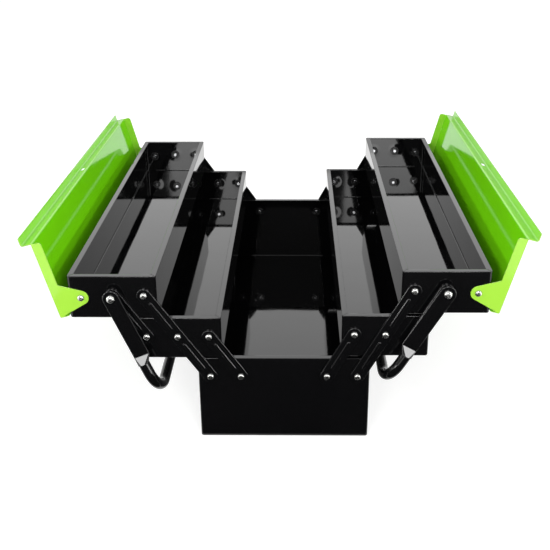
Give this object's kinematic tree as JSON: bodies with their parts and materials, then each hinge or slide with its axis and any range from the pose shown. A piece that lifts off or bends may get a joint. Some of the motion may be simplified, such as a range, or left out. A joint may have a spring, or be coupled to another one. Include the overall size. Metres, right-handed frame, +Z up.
{
  "type": "cantilever tool box",
  "caption": "Open cantilever steel tool box: a deep base carries tiers of trays that swing out on riveted link arms, with hinged folded lids and bent-tube carrying handles.",
  "frame": {"origin": "centre of the base's underside, on the floor", "axes": "+X across the box to the right-hand trays, +Y along the box to its rear end, +Z up"},
  "size_m": [0.5705, 0.5716, 0.2649],
  "materials": {
    "black_enamel": "glossy black stoved enamel",
    "green_enamel": "glossy bright green enamel",
    "plated_steel": "bright zinc plate",
    "washer_black": "black oxide"
  },
  "bodies": {
    "base": {"base_tray": "black_enamel", "base_rivets": "plated_steel", "base_washers": "washer_black"},
    "left_long_arms": {"left_long_arm_front": "black_enamel", "left_long_arm_rear": "black_enamel"},
    "left_inner_arms": {"left_inner_arm_front": "black_enamel", "left_inner_arm_rear": "black_enamel"},
    "left_outer_arms": {"left_outer_arm_front": "black_enamel", "left_outer_arm_rear": "black_enamel"},
    "left_lower": {"left_lower_tray": "black_enamel", "left_lower_rivets": "plated_steel", "left_lower_washers": "washer_black"},
    "left_upper": {"left_upper_tray": "black_enamel", "left_upper_rivets": "plated_steel", "left_lid_rivets": "plated_steel", "left_handle_rivets": "plated_steel", "left_handle_spacers": "washer_black", "left_upper_washers": "washer_black"},
    "left_cover": {"left_lid": "green_enamel"},
    "left_bail": {"left_handle": "black_enamel"},
    "right_long_arms": {"right_long_arm_front": "black_enamel", "right_long_arm_rear": "black_enamel"},
    "right_inner_arms": {"right_inner_arm_front": "black_enamel", "right_inner_arm_rear": "black_enamel"},
    "right_outer_arms": {"right_outer_arm_front": "black_enamel", "right_outer_arm_rear": "black_enamel"},
    "right_lower": {"right_lower_tray": "black_enamel", "right_lower_rivets": "plated_steel", "right_lower_washers": "washer_black"},
    "right_upper": {"right_upper_tray": "black_enamel", "right_upper_rivets": "plated_steel", "right_lid_rivets": "plated_steel", "right_handle_rivets": "plated_steel", "right_handle_spacers": "washer_black", "right_upper_washers": "washer_black"},
    "right_cover": {"right_lid": "green_enamel"},
    "right_bail": {"right_handle": "black_enamel"}
  },
  "joints": [
    {"name": "left_fold", "type": "hinge", "parent": "base", "child": "left_long_arms", "pos_m": [-0.0855, 0, 0.085], "axis": [0, 1, 0], "range_deg": [0, 68.4]},
    {"name": "left_inner_swing", "type": "hinge", "parent": "base", "child": "left_inner_arms", "pos_m": [-0.05, 0, 0.085], "axis": [0, 1, 0], "range_deg": [0, 68.4]},
    {"name": "left_lower_level", "type": "hinge", "parent": "left_long_arms", "child": "left_lower", "pos_m": [-0.12117, 0, 0.13729], "axis": [0, 1, 0], "range_deg": [-68.4, 0]},
    {"name": "left_upper_level", "type": "hinge", "parent": "left_long_arms", "child": "left_upper", "pos_m": [-0.15683, 0, 0.18957], "axis": [0, 1, 0], "range_deg": [-68.4, 0]},
    {"name": "left_outer_swing", "type": "hinge", "parent": "left_lower", "child": "left_outer_arms", "pos_m": [-0.15667, 0, 0.13729], "axis": [0, 1, 0], "range_deg": [0, 68.4]},
    {"name": "left_lid_hinge", "type": "hinge", "parent": "left_upper", "child": "left_cover", "pos_m": [-0.22783, 0, 0.18657], "axis": [0, 1, 0], "range_deg": [0, 104.5]},
    {"name": "left_handle_swing", "type": "hinge", "parent": "left_outer_arms", "child": "left_bail", "pos_m": [-0.19233, 0, 0.18957], "axis": [0, 1, 0], "range_deg": [-12, 138.3]},
    {"name": "right_fold", "type": "hinge", "parent": "base", "child": "right_long_arms", "pos_m": [0.0855, 0, 0.085], "axis": [0, -1, 0], "range_deg": [-5.6, 62.8]},
    {"name": "right_inner_swing", "type": "hinge", "parent": "base", "child": "right_inner_arms", "pos_m": [0.05, 0, 0.085], "axis": [0, -1, 0], "range_deg": [-5.6, 62.8]},
    {"name": "right_lower_level", "type": "hinge", "parent": "right_long_arms", "child": "right_lower", "pos_m": [0.11589, 0, 0.14052], "axis": [0, -1, 0], "range_deg": [-62.8, 5.6]},
    {"name": "right_upper_level", "type": "hinge", "parent": "right_long_arms", "child": "right_upper", "pos_m": [0.14629, 0, 0.19603], "axis": [0, -1, 0], "range_deg": [-62.8, 5.6]},
    {"name": "right_outer_swing", "type": "hinge", "parent": "right_lower", "child": "right_outer_arms", "pos_m": [0.15139, 0, 0.14052], "axis": [0, -1, 0], "range_deg": [-5.6, 62.8]},
    {"name": "right_lid_hinge", "type": "hinge", "parent": "right_upper", "child": "right_cover", "pos_m": [0.21729, 0, 0.19303], "axis": [0, -1, 0], "range_deg": [0, 104.5]},
    {"name": "right_handle_swing", "type": "hinge", "parent": "right_outer_arms", "child": "right_bail", "pos_m": [0.18179, 0, 0.19603], "axis": [0, -1, 0], "range_deg": [-3, 146]}
  ],
  "couplings": [
    {"joint": "left_inner_swing", "follows": "left_fold", "ratio": 1},
    {"joint": "left_lower_level", "follows": "left_fold", "ratio": -1},
    {"joint": "left_upper_level", "follows": "left_fold", "ratio": -1},
    {"joint": "left_outer_swing", "follows": "left_fold", "ratio": 1},
    {"joint": "right_inner_swing", "follows": "right_fold", "ratio": 1},
    {"joint": "right_lower_level", "follows": "right_fold", "ratio": -1},
    {"joint": "right_upper_level", "follows": "right_fold", "ratio": -1},
    {"joint": "right_outer_swing", "follows": "right_fold", "ratio": 1}
  ]
}
